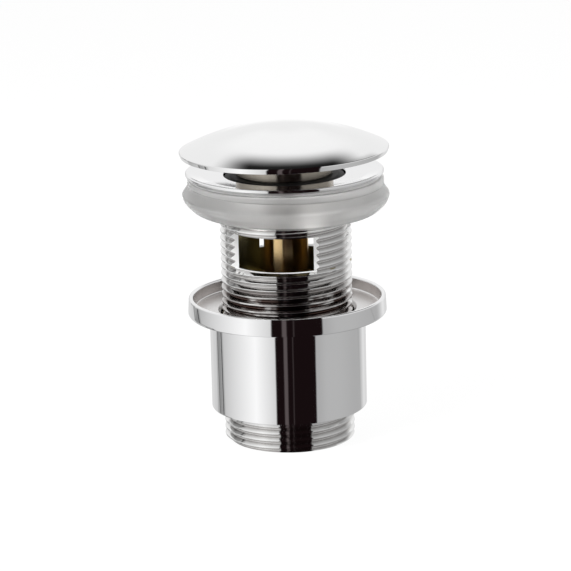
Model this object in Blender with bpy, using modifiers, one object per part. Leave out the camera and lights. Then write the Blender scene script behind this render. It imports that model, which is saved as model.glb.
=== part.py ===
# Click-clack basin waste with overflow: a domed cap on a push-push cartridge, a flanged and threaded
# waste body with two overflow windows, its gasket, and a lower sleeve with cup, skirt and trap thread.
# Metres, +Z up. The origin is on the axis, at the end of the trap thread. The cap is up, which is open.

import math

import bmesh
import bpy
from mathutils import Matrix, Vector

MM = 0.001

# Fits
GAP = 0.3 * MM  # between two solids that touch in the real waste
THREAD_CLEARANCE = 0.4 * MM  # around a male thread's crests
SLIDE_CLEARANCE = 0.3 * MM  # around a sliding or turning piece

# Fineness of round shapes
LARGE_SEGMENTS = 40
SMALL_SEGMENTS = 24
TINY_SEGMENTS = 20
FILLET_STEPS = 2

# G 1 1/4 pipe thread, on the tube and on the tail
THREAD_RADIUS = 20.955 * MM
THREAD_DEPTH = 1.48 * MM

# Lower sleeve
TAIL_WALL = 2.655 * MM  # from the bore to the thread's crests
TAIL_THREAD_LENGTH = 8.4 * MM
TAIL_CHAMFER = 0.9 * MM
RELIEF_LENGTH = 2.0 * MM
SKIRT_WALL = 3.645 * MM
SKIRT_LENGTH = 30.4 * MM
SKIRT_EDGE = 0.5 * MM
SHOULDER_THICKNESS = 2.6 * MM
CUP_OVERHANG = 6.9 * MM  # of the cup over the skirt
CUP_TAPER = 0.35 * MM
CUP_HEIGHT = 5.95 * MM
CUP_WALL = 1.5 * MM
CUP_FLOOR_THICKNESS = 1.7 * MM
CUP_EDGE = 0.6 * MM
CUP_ENTRY_CHAMFER = 0.9 * MM

# Washer on the shoulder inside the sleeve
SLEEVE_WASHER_THICKNESS = 2.0 * MM

# Waste body
TUBE_WALL = 2.655 * MM  # from the bore to the thread's crests
THREAD_ENGAGED = 14.5 * MM  # length of tube inside the sleeve
TUBE_LENGTH = 57.4 * MM  # up to the underside of the flange's rim
TUBE_CHAMFER = 0.9 * MM
FLANGE_WIDTH = 12.1 * MM  # from the hole to the rim
RIM_HEIGHT = 2.2 * MM
RIM_TAPER = 1.0 * MM
RIM_EDGE = 0.35 * MM
RIM_BAND = 0.85 * MM  # height of the rim above its taper
RIM_LAND = 1.0 * MM
DISH_DEPTH = 1.15 * MM
SEAT_STEP = 1.1 * MM  # from the bore out to the hole's wall
HOLE_EDGE = 0.5 * MM
THROAT_DEPTH = 6.5 * MM
SEAT_HEIGHT = 1.0 * MM
FLANGE_ROOT = 3.0 * MM  # how far the flange's underside drops towards the tube

# Overflow windows, cut with a disc beside the tube
WINDOW_DROP = 15.8 * MM  # from the rim's underside to the window's top
WINDOW_HEIGHT = 11.2 * MM
WINDOW_CUTTER_RADIUS = 21.8 * MM
WINDOW_CUTTER_DISTANCE = 2.9 * MM  # from the cartridge

# Cross web
WEB_DROP = 7.6 * MM  # from the window's sill to the web's top
WEB_THICKNESS = 5.0 * MM
WEB_ARM_WIDTH = 3.6 * MM
WEB_HUB_RADIUS = 9.6 * MM

# Flange gasket
GASKET_HEIGHT = 12.2 * MM
GASKET_LIP_SETBACK = 0.3 * MM  # inside the flange's rim
GASKET_LIP_HEIGHT = 1.8 * MM
GASKET_NECK_DEPTH = 0.3 * MM
GASKET_SHOULDER_HEIGHT = 3.3 * MM  # from the lip down to the flare
GASKET_FLARE = 1.5 * MM  # outside the flange's rim
GASKET_HIP_SETBACK = 3.4 * MM  # of the corner between bowl and foot, inside the flare
GASKET_HIP_HEIGHT = 2.0 * MM
GASKET_FOOT_WIDTH = 3.245 * MM
GASKET_LIP_EDGE = 0.6 * MM
GASKET_FLARE_EDGE = 1.2 * MM
GASKET_HIP_EDGE = 4.0 * MM
GASKET_FOOT_EDGE = 1.5 * MM

# Cartridge housing
HOUSING_RADIUS = 7.1 * MM
HOUSING_EDGE = 0.3 * MM
HOUSING_LIP = 0.8 * MM  # above the circlip's groove
COLLAR_FLATS = 16.0 * MM
COLLAR_HEIGHT = 2.7 * MM
HOUSING_TAIL_RADIUS = 5.9 * MM
HOUSING_TAIL_LENGTH = 12.8 * MM
HOUSING_FLOOR = 1.5 * MM
DRAIN_RADIUS = 1.5 * MM
SPRING_CHAMBER_RADIUS = 4.6 * MM
LEDGE_HEIGHT = 6.9 * MM  # of the ring's ledge above the collar's underside
RING_CHAMBER_RADIUS = 6.0 * MM
CLIP_GROOVE_DEPTH = 0.5 * MM

# Pieces that hold the housing in the web
HOUSING_WASHER_THICKNESS = 0.8 * MM
HOUSING_WASHER_RADIUS = 9.0 * MM
HOUSING_NUT_FLATS = 17.0 * MM
HOUSING_NUT_HEIGHT = 3.0 * MM
NUT_CHAMFER = 0.6 * MM

# Track ring and balls
RING_HEIGHT = 3.0 * MM
BALL_RADIUS = 0.75 * MM
BALL_HOLE_CLEARANCE = 0.2 * MM

# Plunger
TRACK_RADIUS = 4.3 * MM
TRACK_LENGTH = 12.2 * MM
TRACK_GROOVE_RADIUS = 1.1 * MM
PRESS_TRAVEL = 4.3 * MM
LATCH_TRAVEL = 3.4 * MM
TRACK_CYCLES = 2  # open and closed positions in one turn of the ring
NECK_RADIUS = 3.5 * MM
PLUNGER_FOOT_RADIUS = 2.6 * MM
PLUNGER_FOOT_LENGTH = 9.5 * MM
STUD_RADIUS = 3.0 * MM
STUD_CHAMFER = 0.5 * MM

# Spring and its seat
WIRE_RADIUS = 0.45 * MM
COIL_RADIUS = 3.6 * MM
COIL_TURNS = 6.5
POINTS_PER_TURN = 9
SPRING_SEAT_THICKNESS = 0.6 * MM

# Spacer, guide bush, wiper ring and circlip
BUSH_HEIGHT = 3.3 * MM
WIPER_RADIUS = 0.4 * MM
WIPER_GROOVE_HEIGHT = 1.2 * MM
CLIP_THICKNESS = 0.8 * MM
CLIP_WIDTH = 1.4 * MM
CLIP_OPENING = 3.2 * MM

# Cap
CAP_LIFT = 5.4 * MM  # clear height between the flange's rim and the open cap
CAP_OVERHANG = 1.9 * MM  # of the cap over the flange
CAP_BAND_HEIGHT = 1.5 * MM
CAP_BAND_TAPER = 0.6 * MM
CAP_EDGE = 0.45 * MM
DOME_HEIGHT = 8.0 * MM
DOME_STEPS = 8
INNER_DOME_STEPS = 4
CAP_WALL = 2.6 * MM
CAP_RIM_WIDTH = 2.4 * MM
CAP_BOSS_RADIUS = 9.0 * MM
STUD_DEPTH = 5.0 * MM  # of the plunger's stud in the cap

# Plug and its seal
PLUG_SKIRT_CLEARANCE = 1.0 * MM  # in the bore
PLUG_STEP = 2.0 * MM  # from the plug's upper part out to its skirt
PLUG_HEIGHT = 10.7 * MM
PLUG_WALL = 2.1 * MM
PLUG_CEILING = 2.3 * MM
PLUG_TOP_EDGE = 0.3 * MM
PLUG_BOTTOM_EDGE = 0.4 * MM
PLUG_INNER_EDGE = 1.0 * MM
SEAL_THICKNESS = 1.7 * MM
SEAL_LIP = 0.5 * MM  # thickness lost at the seal's outer edge, above and below
SEAL_HEIGHT = 2.6 * MM  # of its underside above the plug's lower edge
SEAL_GROOVE_DEPTH = 1.1 * MM

# Pieces that lock the plug on the plunger
PLUG_WASHER_THICKNESS = 0.8 * MM
PLUG_WASHER_RADIUS = 6.5 * MM
CAP_NUT_FLATS = 10.0 * MM
CAP_NUT_HEIGHT = 2.3 * MM

# Radii that follow the thread
TAIL_BORE_RADIUS = THREAD_RADIUS - TAIL_WALL
TUBE_BORE_RADIUS = THREAD_RADIUS - TUBE_WALL
SKIRT_RADIUS = THREAD_RADIUS + THREAD_CLEARANCE + SKIRT_WALL
CUP_RADIUS = SKIRT_RADIUS + CUP_OVERHANG
HOLE_RADIUS = TUBE_BORE_RADIUS + SEAT_STEP
FLANGE_RADIUS = HOLE_RADIUS + FLANGE_WIDTH
GASKET_LIP_RADIUS = FLANGE_RADIUS - GASKET_LIP_SETBACK
GASKET_RADIUS = FLANGE_RADIUS + GASKET_FLARE
GASKET_FOOT_RADIUS = THREAD_RADIUS + GASKET_FOOT_WIDTH
CAP_RADIUS = FLANGE_RADIUS + CAP_OVERHANG
PLUG_SKIRT_RADIUS = TUBE_BORE_RADIUS - PLUG_SKIRT_CLEARANCE
PLUG_RADIUS = PLUG_SKIRT_RADIUS - PLUG_STEP
PLUG_GROOVE_RADIUS = PLUG_RADIUS - SEAL_GROOVE_DEPTH
SEAL_RADIUS = HOLE_RADIUS - GAP

# Heights of the lower sleeve
TAIL_TOP = TAIL_THREAD_LENGTH + RELIEF_LENGTH
SLEEVE_SHOULDER = TAIL_TOP + SHOULDER_THICKNESS
CUP_UNDERSIDE = TAIL_TOP + SKIRT_LENGTH
CUP_FLOOR = CUP_UNDERSIDE + CUP_FLOOR_THICKNESS
CUP_RIM = CUP_UNDERSIDE + CUP_HEIGHT

# Heights of the waste body
TUBE_BOTTOM = CUP_FLOOR - THREAD_ENGAGED
RIM_BOTTOM = TUBE_BOTTOM + TUBE_LENGTH
RIM_TOP = RIM_BOTTOM + RIM_HEIGHT
HOLE_TOP = RIM_TOP - DISH_DEPTH
THROAT_BOTTOM = HOLE_TOP - THROAT_DEPTH
SEAT_BOTTOM = THROAT_BOTTOM - SEAT_HEIGHT
WINDOW_TOP = RIM_BOTTOM - WINDOW_DROP
WINDOW_BOTTOM = WINDOW_TOP - WINDOW_HEIGHT
WEB_TOP = WINDOW_BOTTOM - WEB_DROP
WEB_BOTTOM = WEB_TOP - WEB_THICKNESS

# Heights of the cartridge
COLLAR_BOTTOM = WEB_TOP + GAP
COLLAR_TOP = COLLAR_BOTTOM + COLLAR_HEIGHT
HOUSING_BOTTOM = COLLAR_BOTTOM - HOUSING_TAIL_LENGTH
CHAMBER_FLOOR = HOUSING_BOTTOM + HOUSING_FLOOR
LEDGE = COLLAR_BOTTOM + LEDGE_HEIGHT
RING_BOTTOM = LEDGE + GAP
BALL_LEVEL = RING_BOTTOM + RING_HEIGHT / 2
TRACK_BOTTOM = BALL_LEVEL - 2 * TRACK_GROOVE_RADIUS
TRACK_TOP = TRACK_BOTTOM + TRACK_LENGTH
BUSH_BOTTOM = TRACK_TOP + GAP
BUSH_TOP = BUSH_BOTTOM + BUSH_HEIGHT
CLIP_BOTTOM = BUSH_TOP + GAP
CLIP_TOP = CLIP_BOTTOM + CLIP_THICKNESS
HOUSING_TOP = CLIP_TOP + GAP + HOUSING_LIP
RING_RADIUS = RING_CHAMBER_RADIUS - SLIDE_CLEARANCE
RING_TOP = RING_BOTTOM + RING_HEIGHT
SPRING_SEAT_BOTTOM = TRACK_BOTTOM - GAP - SPRING_SEAT_THICKNESS

# Heights of the cap and the plug
CAP_BOTTOM = RIM_TOP + CAP_LIFT
CAP_CREASE = CAP_BOTTOM + CAP_BAND_HEIGHT
DOME_RADIUS = (CAP_RADIUS**2 + DOME_HEIGHT**2) / (2 * DOME_HEIGHT)
PLUG_TOP = CAP_BOTTOM - GAP
PLUG_BOTTOM = PLUG_TOP - PLUG_HEIGHT
PLUG_UNDER_CEILING = PLUG_TOP - PLUG_CEILING
SEAL_BOTTOM = PLUG_BOTTOM + SEAL_HEIGHT
SEAL_TOP = SEAL_BOTTOM + SEAL_THICKNESS
PLUG_WASHER_TOP = PLUG_UNDER_CEILING - GAP
CAP_NUT_TOP = PLUG_WASHER_TOP - PLUG_WASHER_THICKNESS - GAP
CAP_NUT_BOTTOM = CAP_NUT_TOP - CAP_NUT_HEIGHT
NECK_TOP = CAP_NUT_BOTTOM - GAP
STUD_TOP = CAP_BOTTOM + STUD_DEPTH


def clear_scene():
    for obj in list(bpy.data.objects):
        bpy.data.objects.remove(obj)


def new_collection(name):
    collection = bpy.data.collections.new(name)
    bpy.context.scene.collection.children.link(collection)
    return collection


def new_material(name, colour, roughness, metallic):
    material = bpy.data.materials.new(name)
    material.use_nodes = True
    shader = material.node_tree.nodes["Principled BSDF"]
    shader.inputs["Base Color"].default_value = (*colour, 1)
    shader.inputs["Roughness"].default_value = roughness
    shader.inputs["Metallic"].default_value = metallic
    return material


def add_object(name, bm, material=None):
    """Links the bmesh as an object: a part if it has a material, else a cutter."""
    mesh = bpy.data.meshes.new(name)
    bm.to_mesh(mesh)
    bm.free()
    obj = bpy.data.objects.new(name, mesh)
    if material:
        mesh.materials.append(material)
        parts.objects.link(obj)
    else:
        obj.hide_render = True
        obj.display_type = "WIRE"
        cutters.objects.link(obj)
    return obj


def rounded(corners, closed=True):
    """Points of an outline. A corner is (across, up) or, for a rounded one, (across, up, fillet).
    A fillet stays within half of the shorter side beside it.
    """
    points = []
    for index, (across, up, *fillet) in enumerate(corners):
        here = Vector((across, up))
        at_end = not closed and index in (0, len(corners) - 1)
        if not fillet or at_end:
            points.append(here)
            continue
        before = (Vector(corners[index - 1][:2]) - here).normalized()
        after = (Vector(corners[(index + 1) % len(corners)][:2]) - here).normalized()
        half_angle = before.angle(after) / 2
        lengths = [(Vector(corners[i % len(corners)][:2]) - here).length for i in (index - 1, index + 1)]
        reach = min(fillet[0] / math.tan(half_angle), 0.49 * min(lengths))
        radius = reach * math.tan(half_angle)
        centre = here + (before + after).normalized() * radius / math.sin(half_angle)
        start = here + before * reach - centre
        sweep = start.angle_signed(here + after * reach - centre)
        for step in range(FILLET_STEPS + 1):
            points.append(centre + Matrix.Rotation(-sweep * step / FILLET_STEPS, 2) @ start)
    return points


def turned(name, corners, material=None, segments=LARGE_SEGMENTS):
    """A turned solid: the outline runs down its outer side, then back up its bore or its axis."""
    bm = bmesh.new()
    verts = [bm.verts.new((across, 0, up)) for across, up in rounded(corners)]
    for start, end in zip(verts, verts[1:] + verts[:1]):
        if max(start.co.x, end.co.x) > 0:
            bm.edges.new((start, end))
    obj = add_object(name, bm, material)
    screw = obj.modifiers.new("Turn", "SCREW")
    screw.axis = "Z"
    screw.steps = screw.render_steps = segments
    screw.use_merge_vertices = True
    screw.merge_threshold = 0.00001
    screw.use_smooth_shade = True
    return obj


def cylinder(name, radius, bottom, top, segments=LARGE_SEGMENTS, across=(0, 0)):
    bm = bmesh.new()
    middle = Matrix.Translation((*across, (bottom + top) / 2))
    bmesh.ops.create_cone(
        bm, cap_ends=True, segments=segments, radius1=radius, radius2=radius,
        depth=top - bottom, matrix=middle,
    )
    return add_object(name, bm)


def block(name, size, centre, turn=0):
    bm = bmesh.new()
    place = Matrix.Translation(centre) @ Matrix.Rotation(turn, 4, "Z") @ Matrix.Diagonal((*size, 1))
    bmesh.ops.create_cube(bm, size=1, matrix=place)
    return add_object(name, bm)


def combine(obj, other, operation="DIFFERENCE", crosses_itself=False):
    boolean = obj.modifiers.new(f"{operation.title()} {other.name}", "BOOLEAN")
    boolean.operation = operation
    boolean.object = other
    boolean.use_self = crosses_itself


def hexagon(name, across_flats, bottom, top, material=None):
    """A hexagonal prism whose corners are chamfered at both ends."""
    corner = across_flats / math.sqrt(3)
    bm = bmesh.new()
    bmesh.ops.create_cone(
        bm, cap_ends=True, segments=6, radius1=corner, radius2=corner,
        depth=top - bottom, matrix=Matrix.Translation((0, 0, (bottom + top) / 2)),
    )
    prism = add_object(name, bm, material)
    reach = corner + NUT_CHAMFER
    envelope = turned(
        f"{name}_chamfer",
        [
            (0, top + NUT_CHAMFER),
            (across_flats / 2 - NUT_CHAMFER, top + NUT_CHAMFER),
            (reach, (top + bottom) / 2 + (top - bottom) * 0.1),
            (reach, (top + bottom) / 2 - (top - bottom) * 0.1),
            (across_flats / 2 - NUT_CHAMFER, bottom - NUT_CHAMFER),
            (0, bottom - NUT_CHAMFER),
        ],
        segments=TINY_SEGMENTS,
    )
    combine(prism, envelope, "INTERSECT")
    return prism


def flat_ring(name, outer, inner, bottom, top, material, segments=SMALL_SEGMENTS):
    corners = [(outer, top), (outer, bottom), (inner, bottom), (inner, top)]
    return turned(name, corners, material, segments)


def cord_ring(name, middle, cord, level, material, sides, segments):
    """An O-ring: a round cord turned about the axis."""
    corners = []
    for side in range(sides):
        angle = math.pi / 2 - math.tau * side / sides
        corners.append((middle + cord * math.cos(angle), level + cord * math.sin(angle)))
    return turned(name, corners, material, segments)


def make_lower_sleeve():
    relief = THREAD_RADIUS - THREAD_DEPTH
    cup_inside = CUP_RADIUS - CUP_TAPER - CUP_WALL
    lip = CUP_WALL / 2
    bore = THREAD_RADIUS + THREAD_CLEARANCE
    turned(
        "lower_sleeve",
        [
            (CUP_RADIUS - CUP_TAPER, CUP_RIM, lip),
            (CUP_RADIUS, CUP_UNDERSIDE, CUP_EDGE),
            (SKIRT_RADIUS, CUP_UNDERSIDE, SKIRT_EDGE),
            (SKIRT_RADIUS, TAIL_TOP, SKIRT_EDGE),
            (relief, TAIL_TOP),
            (relief, TAIL_THREAD_LENGTH + RELIEF_LENGTH / 4),
            (THREAD_RADIUS, TAIL_THREAD_LENGTH - RELIEF_LENGTH / 4),
            (THREAD_RADIUS, TAIL_CHAMFER),
            (THREAD_RADIUS - TAIL_CHAMFER, 0),
            (TAIL_BORE_RADIUS, 0),
            (TAIL_BORE_RADIUS, SLEEVE_SHOULDER),
            (bore, SLEEVE_SHOULDER),
            (bore, CUP_FLOOR - CUP_ENTRY_CHAMFER),
            (bore + CUP_ENTRY_CHAMFER, CUP_FLOOR),
            (cup_inside, CUP_FLOOR, CUP_EDGE),
            (cup_inside, CUP_RIM, lip),
        ],
        chrome,
    )


def make_sleeve_washer():
    bottom = SLEEVE_SHOULDER + GAP
    flat_ring(
        "sleeve_washer", THREAD_RADIUS, TAIL_BORE_RADIUS + GAP, bottom,
        bottom + SLEEVE_WASHER_THICKNESS, black_rubber,
    )


def make_waste_body():
    body = turned(
        "waste_body",
        [
            (FLANGE_RADIUS - RIM_LAND, RIM_TOP, RIM_EDGE),
            (FLANGE_RADIUS, RIM_TOP - RIM_EDGE, RIM_EDGE),
            (FLANGE_RADIUS, RIM_TOP - RIM_BAND),
            (FLANGE_RADIUS - RIM_TAPER, RIM_BOTTOM),
            (FLANGE_RADIUS - RIM_TAPER - RIM_LAND, RIM_BOTTOM),
            (THREAD_RADIUS, RIM_BOTTOM - FLANGE_ROOT),
            (THREAD_RADIUS, TUBE_BOTTOM + TUBE_CHAMFER),
            (THREAD_RADIUS - TUBE_CHAMFER, TUBE_BOTTOM),
            (TUBE_BORE_RADIUS, TUBE_BOTTOM),
            (TUBE_BORE_RADIUS, SEAT_BOTTOM),
            (HOLE_RADIUS, THROAT_BOTTOM),
            (HOLE_RADIUS, HOLE_TOP, HOLE_EDGE),
        ],
        chrome,
    )
    cutter_offset = HOUSING_RADIUS + WINDOW_CUTTER_DISTANCE + WINDOW_CUTTER_RADIUS
    for side, name in ((-1, "front"), (1, "rear")):
        cutter = cylinder(
            f"{name}_window_cutter", WINDOW_CUTTER_RADIUS, WINDOW_BOTTOM, WINDOW_TOP,
            across=(0, side * cutter_offset),
        )
        combine(body, cutter)
    web_middle = (0, 0, (WEB_TOP + WEB_BOTTOM) / 2)
    arm_length = TUBE_BORE_RADIUS + THREAD_RADIUS - THREAD_DEPTH
    for arm, turn in (("a", math.pi / 4), ("b", -math.pi / 4)):
        bar = block(f"web_arm_{arm}", (arm_length, WEB_ARM_WIDTH, WEB_THICKNESS), web_middle, turn)
        combine(body, bar, "UNION")
    combine(body, cylinder("web_hub", WEB_HUB_RADIUS, WEB_BOTTOM, WEB_TOP, SMALL_SEGMENTS), "UNION")
    hole = cylinder(
        "web_hole_cutter", HOUSING_TAIL_RADIUS + THREAD_CLEARANCE, WEB_BOTTOM - WEB_THICKNESS,
        WEB_TOP + WEB_DROP, SMALL_SEGMENTS,
    )
    combine(body, hole)


def make_flange_gasket():
    top = RIM_BOTTOM - GAP
    bottom = RIM_BOTTOM - GASKET_HEIGHT
    neck = top - GASKET_LIP_HEIGHT
    inside = THREAD_RADIUS + GAP
    flange_inside = FLANGE_RADIUS - RIM_TAPER - RIM_LAND
    turned(
        "flange_gasket",
        [
            (GASKET_LIP_RADIUS, top, GASKET_LIP_EDGE),
            (GASKET_LIP_RADIUS, neck),
            (GASKET_LIP_RADIUS - GASKET_NECK_DEPTH, neck - GASKET_NECK_DEPTH),
            (GASKET_RADIUS, neck - GASKET_SHOULDER_HEIGHT, GASKET_FLARE_EDGE),
            (GASKET_RADIUS - GASKET_HIP_SETBACK, bottom + GASKET_HIP_HEIGHT, GASKET_HIP_EDGE),
            (GASKET_FOOT_RADIUS, bottom, GASKET_FOOT_EDGE),
            (inside, bottom),
            (inside, RIM_BOTTOM - FLANGE_ROOT - GAP),
            (flange_inside, top),
        ],
        clear_rubber,
    )


def make_cartridge_housing():
    housing = turned(
        "cartridge_housing",
        [
            (HOUSING_RADIUS, HOUSING_TOP, HOUSING_EDGE),
            (HOUSING_RADIUS, COLLAR_BOTTOM),
            (HOUSING_TAIL_RADIUS, COLLAR_BOTTOM),
            (HOUSING_TAIL_RADIUS, HOUSING_BOTTOM + STUD_CHAMFER),
            (HOUSING_TAIL_RADIUS - STUD_CHAMFER, HOUSING_BOTTOM),
            (DRAIN_RADIUS, HOUSING_BOTTOM),
            (DRAIN_RADIUS, CHAMBER_FLOOR),
            (SPRING_CHAMBER_RADIUS, CHAMBER_FLOOR),
            (SPRING_CHAMBER_RADIUS, LEDGE),
            (RING_CHAMBER_RADIUS, LEDGE),
            (RING_CHAMBER_RADIUS, CLIP_BOTTOM - GAP),
            (RING_CHAMBER_RADIUS + CLIP_GROOVE_DEPTH, CLIP_BOTTOM - GAP),
            (RING_CHAMBER_RADIUS + CLIP_GROOVE_DEPTH, CLIP_TOP + GAP),
            (RING_CHAMBER_RADIUS, CLIP_TOP + GAP),
            (RING_CHAMBER_RADIUS, HOUSING_TOP),
        ],
        brass,
        SMALL_SEGMENTS,
    )
    collar = hexagon("collar", COLLAR_FLATS, COLLAR_BOTTOM, COLLAR_TOP)
    core = cylinder(
        "collar_core", (HOUSING_RADIUS + RING_CHAMBER_RADIUS) / 2, COLLAR_BOTTOM - COLLAR_HEIGHT,
        COLLAR_TOP + COLLAR_HEIGHT, SMALL_SEGMENTS,
    )
    combine(collar, core)
    combine(housing, collar, "UNION")


def make_housing_fixings():
    washer_top = WEB_BOTTOM - GAP
    nut_top = washer_top - HOUSING_WASHER_THICKNESS - GAP
    hole = HOUSING_TAIL_RADIUS + THREAD_CLEARANCE
    flat_ring(
        "housing_washer", HOUSING_WASHER_RADIUS, hole, washer_top - HOUSING_WASHER_THICKNESS,
        washer_top, steel,
    )
    nut = hexagon(
        "housing_nut", HOUSING_NUT_FLATS, nut_top - HOUSING_NUT_HEIGHT, nut_top, brass
    )
    bore = cylinder(
        "housing_nut_bore", hole, nut_top - 2 * HOUSING_NUT_HEIGHT, nut_top + HOUSING_NUT_HEIGHT,
        SMALL_SEGMENTS,
    )
    combine(nut, bore)


def make_track_ring():
    ring = flat_ring(
        "track_ring", RING_RADIUS, TRACK_RADIUS + SLIDE_CLEARANCE, RING_BOTTOM, RING_TOP, steel
    )
    bm = bmesh.new()
    hole = BALL_RADIUS + BALL_HOLE_CLEARANCE
    across = Matrix.Translation((0, 0, BALL_LEVEL)) @ Matrix.Rotation(math.pi / 2, 4, "Y")
    bmesh.ops.create_cone(
        bm, cap_ends=True, segments=TINY_SEGMENTS // 2, radius1=hole, radius2=hole,
        depth=3 * RING_RADIUS, matrix=across,
    )
    combine(ring, add_object("ball_hole_cutter", bm))


def make_track_balls():
    reach = TRACK_RADIUS + GAP / 6
    for side, name in ((-1, "left"), (1, "right")):
        bm = bmesh.new()
        place = Matrix.Translation((side * reach, 0, BALL_LEVEL))
        bmesh.ops.create_uvsphere(bm, u_segments=12, v_segments=8, radius=BALL_RADIUS, matrix=place)
        ball = add_object(f"track_ball_{name}", bm, steel)
        ball.data.shade_smooth()


def track_path():
    """The zigzag of the track, wrapped round the plunger: a press turns the ring by a third of a cycle."""
    cycle = math.tau / TRACK_CYCLES
    turn_depth = TRACK_GROOVE_RADIUS * 0.3
    stops = (
        (0, -turn_depth),
        (1 / 3, PRESS_TRAVEL + turn_depth),
        (1 / 2, LATCH_TRAVEL - turn_depth),
        (2 / 3, PRESS_TRAVEL + turn_depth),
    )
    developed = []
    for turn in range(TRACK_CYCLES):
        for share, rise in stops:
            developed.append(((turn + share) * cycle * TRACK_RADIUS, rise, TRACK_GROOVE_RADIUS * 0.7))
    end = (math.tau * TRACK_RADIUS, -turn_depth, TRACK_GROOVE_RADIUS * 0.7)
    before = (developed[-1][0] - math.tau * TRACK_RADIUS, developed[-1][1])
    after = (developed[1][0] + math.tau * TRACK_RADIUS, developed[1][1])
    flat = rounded([before, *developed, end, after], closed=False)[1:-1]
    path = []
    for start, finish in zip(flat, flat[1:]):
        pieces = max(1, round((finish - start).length / (TRACK_GROOVE_RADIUS * 1.2)))
        path += [start.lerp(finish, piece / pieces) for piece in range(pieces)]
    half = (FILLET_STEPS + 1) // 2
    return path[half : len(path) - half + 1]


def make_plunger():
    plunger = turned(
        "plunger",
        [
            (0, STUD_TOP),
            (STUD_RADIUS - STUD_CHAMFER, STUD_TOP),
            (STUD_RADIUS, STUD_TOP - STUD_CHAMFER),
            (STUD_RADIUS, NECK_TOP),
            (NECK_RADIUS, NECK_TOP),
            (NECK_RADIUS, TRACK_TOP),
            (TRACK_RADIUS, TRACK_TOP),
            (TRACK_RADIUS, TRACK_BOTTOM),
            (PLUNGER_FOOT_RADIUS, TRACK_BOTTOM),
            (PLUNGER_FOOT_RADIUS, TRACK_BOTTOM - PLUNGER_FOOT_LENGTH + STUD_CHAMFER),
            (PLUNGER_FOOT_RADIUS - STUD_CHAMFER, TRACK_BOTTOM - PLUNGER_FOOT_LENGTH),
            (0, TRACK_BOTTOM - PLUNGER_FOOT_LENGTH),
        ],
        brass,
        SMALL_SEGMENTS,
    )
    # The ball at the plunger's +X side starts at angle zero, and a push sends the ring the positive way.
    points = [
        (
            TRACK_RADIUS * math.cos(along / TRACK_RADIUS),
            TRACK_RADIUS * math.sin(along / TRACK_RADIUS),
            BALL_LEVEL + rise,
        )
        for along, rise in track_path()
    ]
    track = tube_cutter("track_cutter", points, TRACK_GROOVE_RADIUS)
    combine(plunger, track, crosses_itself=True)


def curve_object(name, points, radius, closed):
    curve = bpy.data.curves.new(name, "CURVE")
    curve.dimensions = "3D"
    curve.bevel_depth = radius
    curve.bevel_resolution = 2
    curve.use_fill_caps = not closed
    spline = curve.splines.new("POLY")
    spline.points.add(len(points) - 1)
    for point, place in zip(spline.points, points):
        point.co = (*place, 1)
    spline.use_cyclic_u = closed
    return bpy.data.objects.new(name, curve)


def tube_cutter(name, points, radius):
    """A closed loop of round tube, made a mesh so that it can cut."""
    guide = curve_object(name, points, radius, closed=True)
    cutters.objects.link(guide)
    bpy.context.view_layer.update()
    graph = bpy.context.evaluated_depsgraph_get()
    mesh = bpy.data.meshes.new_from_object(guide.evaluated_get(graph))
    bpy.data.objects.remove(guide)
    bm = bmesh.new()
    bm.from_mesh(mesh)
    bmesh.ops.recalc_face_normals(bm, faces=bm.faces)
    return add_object(name, bm)


def make_return_spring():
    low = CHAMBER_FLOOR + GAP + WIRE_RADIUS
    high = SPRING_SEAT_BOTTOM - GAP - WIRE_RADIUS
    count = int(COIL_TURNS * POINTS_PER_TURN)
    points = []
    for step in range(count + 1):
        angle = math.tau * COIL_TURNS * step / count
        height = low + (high - low) * step / count
        points.append((COIL_RADIUS * math.cos(angle), COIL_RADIUS * math.sin(angle), height))
    spring = curve_object("return_spring", points, WIRE_RADIUS, closed=False)
    spring.data.materials.append(steel)
    parts.objects.link(spring)


def make_spring_seat():
    flat_ring(
        "spring_seat", TRACK_RADIUS, PLUNGER_FOOT_RADIUS + SLIDE_CLEARANCE, SPRING_SEAT_BOTTOM,
        SPRING_SEAT_BOTTOM + SPRING_SEAT_THICKNESS, steel, TINY_SEGMENTS,
    )


def make_ring_spacer():
    flat_ring(
        "ring_spacer", RING_RADIUS, TRACK_RADIUS + SLIDE_CLEARANCE, RING_TOP + GAP,
        BUSH_BOTTOM - GAP, white_plastic, TINY_SEGMENTS,
    )


def make_guide_bush():
    bore = NECK_RADIUS + SLIDE_CLEARANCE
    middle = (BUSH_TOP + BUSH_BOTTOM) / 2
    groove = bore + 2 * WIPER_RADIUS
    turned(
        "guide_bush",
        [
            (RING_RADIUS, BUSH_TOP),
            (RING_RADIUS, BUSH_BOTTOM),
            (bore, BUSH_BOTTOM),
            (bore, middle - WIPER_GROOVE_HEIGHT / 2),
            (groove, middle - WIPER_GROOVE_HEIGHT / 2),
            (groove, middle + WIPER_GROOVE_HEIGHT / 2),
            (bore, middle + WIPER_GROOVE_HEIGHT / 2),
            (bore, BUSH_TOP),
        ],
        white_plastic,
        SMALL_SEGMENTS,
    )
    cord_ring(
        "wiper_ring", NECK_RADIUS + SLIDE_CLEARANCE / 2 + WIPER_RADIUS, WIPER_RADIUS, middle,
        black_rubber, 6, SMALL_SEGMENTS,
    )


def make_bush_circlip():
    outer = RING_CHAMBER_RADIUS + CLIP_GROOVE_DEPTH - GAP / 2
    clip = flat_ring("bush_circlip", outer, outer - CLIP_WIDTH, CLIP_BOTTOM, CLIP_TOP, steel)
    gap_size = (CLIP_OPENING, 2 * CLIP_WIDTH, 3 * CLIP_THICKNESS)
    opening = block("circlip_cutter", gap_size, (0, outer, (CLIP_BOTTOM + CLIP_TOP) / 2))
    combine(clip, opening)


def dome_height(across):
    return CAP_CREASE + DOME_HEIGHT - DOME_RADIUS + math.sqrt(DOME_RADIUS**2 - across**2)


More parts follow.
